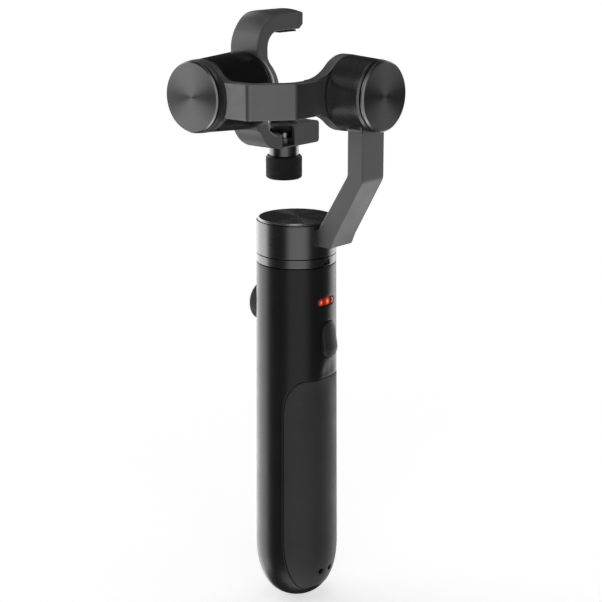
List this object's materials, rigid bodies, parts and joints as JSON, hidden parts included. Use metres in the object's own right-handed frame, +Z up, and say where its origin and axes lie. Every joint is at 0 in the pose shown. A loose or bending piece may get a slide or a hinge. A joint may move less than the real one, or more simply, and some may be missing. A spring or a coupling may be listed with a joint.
{
  "type": "gimbal stabilizer",
  "caption": "Handheld motorised gimbal that clamps an action camera in a C-shaped bracket and keeps it level about pan, roll and tilt axes.",
  "frame": {"origin": "on the handle's axis at the middle of the hand grip", "axes": "+Z up along the handle to the motors, +Y forward where the camera looks, -Y towards the user and the power key, -X towards the tilt motor"},
  "size_m": [0.0739, 0.0768, 0.2722],
  "materials": {
    "handle_black": "satin black",
    "grip_soft": "soft touch",
    "arm_metal": "satin charcoal anodised",
    "disc_metal": "spun grey anodised",
    "rotor_gloss": "gloss black",
    "bracket_metal": "matt charcoal",
    "knob_black": "black knurled",
    "button_plastic": "satin",
    "rubber": "matt",
    "steel": "turned",
    "magnet": "nickel plated",
    "lamination": "lacquered laminations and winding",
    "board_green": "solder mask",
    "led_lens": "translucent",
    "led_emitter": "clear resin",
    "cell_wrap": "shrink wrapped",
    "liner_plastic": "moulded",
    "ribbon": "flexible circuit"
  },
  "bodies": {
    "handle": {"handle_shell": "handle_black", "grip_panel": "grip_soft", "led_window": "led_lens", "led_left": "led_emitter", "led_right": "led_emitter", "main_board": "board_green", "board_frame": "liner_plastic", "power_switch": "steel", "trigger_board": "board_green", "trigger_switch": "steel", "charging_port": "steel", "battery_sleeve": "liner_plastic", "battery_cell": "cell_wrap", "battery_contact": "steel", "battery_spring": "steel", "battery_lid": "liner_plastic", "stator_ring": "arm_metal", "pan_bearing_tube": "liner_plastic", "pan_stator": "lamination", "pan_lower_bearing": "steel", "pan_upper_bearing": "steel"},
    "trigger": {"trigger_button": "button_plastic"},
    "power_key": {"power_button": "button_plastic"},
    "pan": {"roll_arm": "arm_metal", "pan_top_disc": "disc_metal", "pan_magnet_ring": "magnet", "pan_shaft": "steel", "arm_cover": "arm_metal", "arm_ribbon": "ribbon", "arm_cover_screw_lower": "steel", "arm_cover_screw_upper": "steel", "roll_disc": "disc_metal", "roll_magnet_ring": "magnet", "roll_shaft": "steel"},
    "roll": {"tilt_arm": "arm_metal", "roll_inner_cover": "arm_metal", "tilt_disc": "disc_metal", "roll_bearing_tube": "liner_plastic", "roll_stator": "lamination", "roll_lower_bearing": "steel", "roll_upper_bearing": "steel", "tilt_bearing_tube": "liner_plastic", "tilt_stator": "lamination", "tilt_lower_bearing": "steel", "tilt_upper_bearing": "steel"},
    "camera": {"tilt_rotor": "rotor_gloss", "tilt_magnet_ring": "magnet", "tilt_shaft": "steel", "camera_bracket": "bracket_metal", "hook_pad": "rubber", "back_pad": "rubber", "imu_board": "board_green", "clamp_sleeve": "bracket_metal"},
    "clamp_pad": {"clamp_pad": "rubber"},
    "clamp_screw": {"clamp_spindle": "steel", "clamp_knob": "knob_black"}
  },
  "joints": [
    {"name": "pan_turn", "type": "hinge", "parent": "handle", "child": "pan", "pos_m": [0, 0, 0.11], "axis": [0, 0, 1], "range_deg": [-165, 165]},
    {"name": "roll_turn", "type": "hinge", "parent": "pan", "child": "roll", "pos_m": [0, -0.035, 0.1821], "axis": [0, 1, 0], "range_deg": [-60, 60]},
    {"name": "tilt_turn", "type": "hinge", "parent": "roll", "child": "camera", "pos_m": [-0.035, 0.011, 0.1821], "axis": [1, 0, 0], "range_deg": [-40, 110]},
    {"name": "clamp_slide", "type": "slide", "parent": "camera", "child": "clamp_pad", "axis": [0, 0, 1], "range_m": [-0.0022, 0.0022]},
    {"name": "knob_turn", "type": "hinge", "parent": "clamp_pad", "child": "clamp_screw", "pos_m": [0.0043, 0.011, 0.145], "axis": [0, 0, 1], "range_deg": [-792.1, 792.1]},
    {"name": "trigger_press", "type": "slide", "parent": "handle", "child": "trigger", "axis": [0, -1, 0], "range_m": [0, 0.0012], "stiffness_N_per_m": 1500, "springref_m": -0.0003},
    {"name": "power_press", "type": "slide", "parent": "handle", "child": "power_key", "axis": [-0.0523, 0.9986, 0], "range_m": [0, 0.0008], "stiffness_N_per_m": 1500, "springref_m": -0.0003}
  ],
  "couplings": [
    {"joint": "knob_turn", "follows": "clamp_slide", "rad_per_m": 6283.2}
  ]
}
